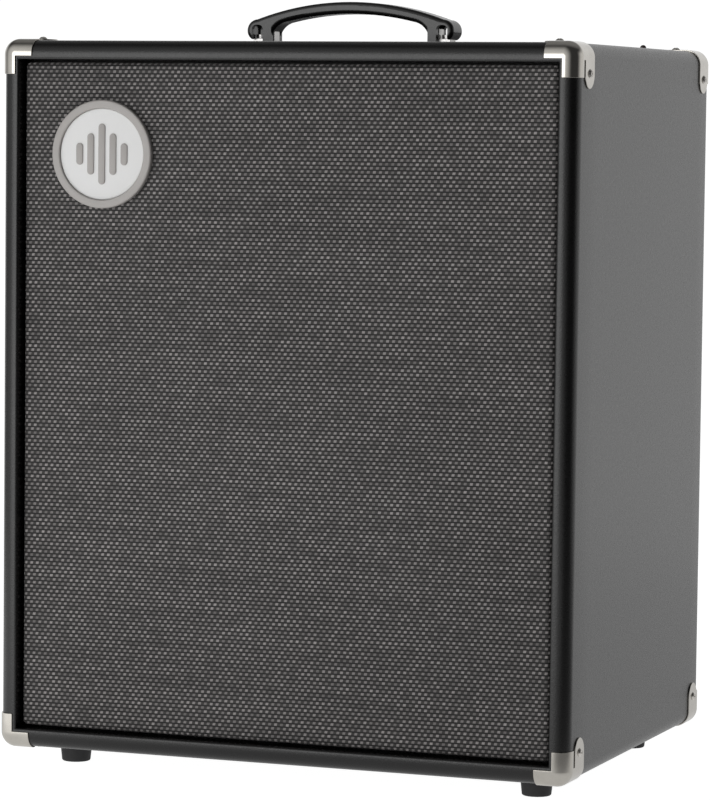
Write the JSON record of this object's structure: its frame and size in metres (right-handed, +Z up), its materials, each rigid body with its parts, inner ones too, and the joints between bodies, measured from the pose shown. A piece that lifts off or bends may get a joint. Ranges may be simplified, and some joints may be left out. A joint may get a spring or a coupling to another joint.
{
  "type": "guitar amplifier",
  "caption": "Combo amplifier: vinyl-covered cabinet, cloth grille with round badge, woofer, top control recess, lifting handle, metal corner protectors and rubber feet.",
  "frame": {"origin": "on the floor, under the middle of the cabinet", "axes": "+X to the right seen from the front, +Y from the grille to the rear panel, +Z up"},
  "size_m": [0.507, 0.3884, 0.6443],
  "materials": {
    "plywood": "plain birch plywood, hidden under the covering",
    "black_board": "board painted matt black",
    "black_vinyl": "fine-grained black vinyl covering, low sheen",
    "grille_cloth": "black and grey basket-weave grille cloth",
    "badge_grey": "satin warm grey",
    "badge_white": "satin white",
    "nickel": "bright nickel plate with light handling marks",
    "screw_steel": "zinc-plated steel",
    "foot_rubber": "matt black rubber",
    "handle_plastic": "soft black moulded handle, fine texture",
    "basket_paint": "black powder coat",
    "plated_steel": "zinc-plated sheet steel",
    "ferrite": "dark grey sintered ferrite",
    "cone_paper": "black pressed paper pulp",
    "coil_aluminium": "plain aluminium former",
    "surround_rubber": "matt black rubber",
    "spider_fabric": "resin-stiffened cloth",
    "port_plastic": "moulded matt black plastic",
    "switch_plastic": "gloss black plastic",
    "panel_paint": "satin black paint on steel",
    "knob_plastic": "satin black moulded knob with a white pointer",
    "circuit_green": "green solder mask",
    "transformer_paint": "varnished winding",
    "lamp_plastic": "dark smoked lamp lens and bezel"
  },
  "bodies": {
    "cabinet": {"amp_chassis": "plated_steel", "badge_emblem": "badge_grey", "badge_face": "badge_white", "badge_ring": "badge_grey", "bottom_panel": "plywood", "circuit_board": "circuit_green", "control_panel": "panel_paint", "corner_front_bottom_left": "nickel", "corner_front_bottom_right": "nickel", "corner_front_top_left": "nickel", "corner_front_top_right": "nickel", "corner_rear_bottom_left": "nickel", "corner_rear_bottom_right": "nickel", "corner_rear_top_left": "nickel", "corner_rear_top_right": "nickel", "foot_front_left": "foot_rubber", "foot_front_right": "foot_rubber", "foot_rear_left": "foot_rubber", "foot_rear_right": "foot_rubber", "foot_screws": "screw_steel", "front_baffle": "black_board", "grille_cloth": "grille_cloth", "grille_frame": "black_board", "handle_bolts": "screw_steel", "handle_bracket_left": "nickel", "handle_bracket_right": "nickel", "handle_pins": "screw_steel", "jack_sockets": "screw_steel", "left_side_panel": "plywood", "mains_inlet": "port_plastic", "panel_battens": "plywood", "pilot_lamp": "lamp_plastic", "port_tubes": "port_plastic", "potentiometers": "screw_steel", "power_switch_housing": "port_plastic", "power_transformer": "transformer_paint", "rear_connector_plate": "panel_paint", "rear_panel": "black_board", "right_side_panel": "plywood", "top_panel": "plywood", "vinyl_covering": "black_vinyl", "wood_screws": "nickel", "woofer_basket": "basket_paint", "woofer_magnet": "ferrite", "woofer_pole_plate": "plated_steel", "woofer_screws": "screw_steel", "woofer_spider": "spider_fabric", "woofer_surround": "surround_rubber", "woofer_top_plate": "plated_steel"},
    "handle": {"handle_grip": "handle_plastic"},
    "cone": {"woofer_cone": "cone_paper", "woofer_voice_coil": "coil_aluminium", "woofer_dust_cap": "cone_paper"},
    "mute_button": {"mute_button": "port_plastic"},
    "power_rocker": {"power_rocker": "switch_plastic"},
    "gain_knob": {"gain_knob": "knob_plastic"},
    "bass_knob": {"bass_knob": "knob_plastic"},
    "middle_knob": {"middle_knob": "knob_plastic"},
    "treble_knob": {"treble_knob": "knob_plastic"},
    "master_knob": {"master_knob": "knob_plastic"}
  },
  "joints": [
    {"name": "handle_lift", "type": "slide", "parent": "cabinet", "child": "handle", "axis": [0, 0, 1], "range_m": [0, 0.005]},
    {"name": "cone_stroke", "type": "slide", "parent": "cabinet", "child": "cone", "axis": [0, 1, 0], "range_m": [-0.005, 0.005], "stiffness_N_per_m": 3000, "deforming": ["woofer_surround", "woofer_spider"]},
    {"name": "gain_turn", "type": "hinge", "parent": "cabinet", "child": "gain_knob", "pos_m": [-0.1, 0.11, 0.6], "axis": [0, 0, -1], "range_deg": [-150, 150]},
    {"name": "bass_turn", "type": "hinge", "parent": "cabinet", "child": "bass_knob", "pos_m": [-0.05, 0.11, 0.6], "axis": [0, 0, -1], "range_deg": [-150, 150]},
    {"name": "middle_turn", "type": "hinge", "parent": "cabinet", "child": "middle_knob", "pos_m": [0, 0.11, 0.6], "axis": [0, 0, -1], "range_deg": [-150, 150]},
    {"name": "treble_turn", "type": "hinge", "parent": "cabinet", "child": "treble_knob", "pos_m": [0.05, 0.11, 0.6], "axis": [0, 0, -1], "range_deg": [-150, 150]},
    {"name": "master_turn", "type": "hinge", "parent": "cabinet", "child": "master_knob", "pos_m": [0.1, 0.11, 0.6], "axis": [0, 0, -1], "range_deg": [-150, 150]},
    {"name": "mute_press", "type": "slide", "parent": "cabinet", "child": "mute_button", "axis": [0, 0, -1], "range_m": [0, 0.0018], "stiffness_N_per_m": 800},
    {"name": "power_tip", "type": "hinge", "parent": "cabinet", "child": "power_rocker", "pos_m": [-0.03, 0.1855, 0.562], "axis": [1, 0, 0], "range_deg": [0, 20]}
  ]
}
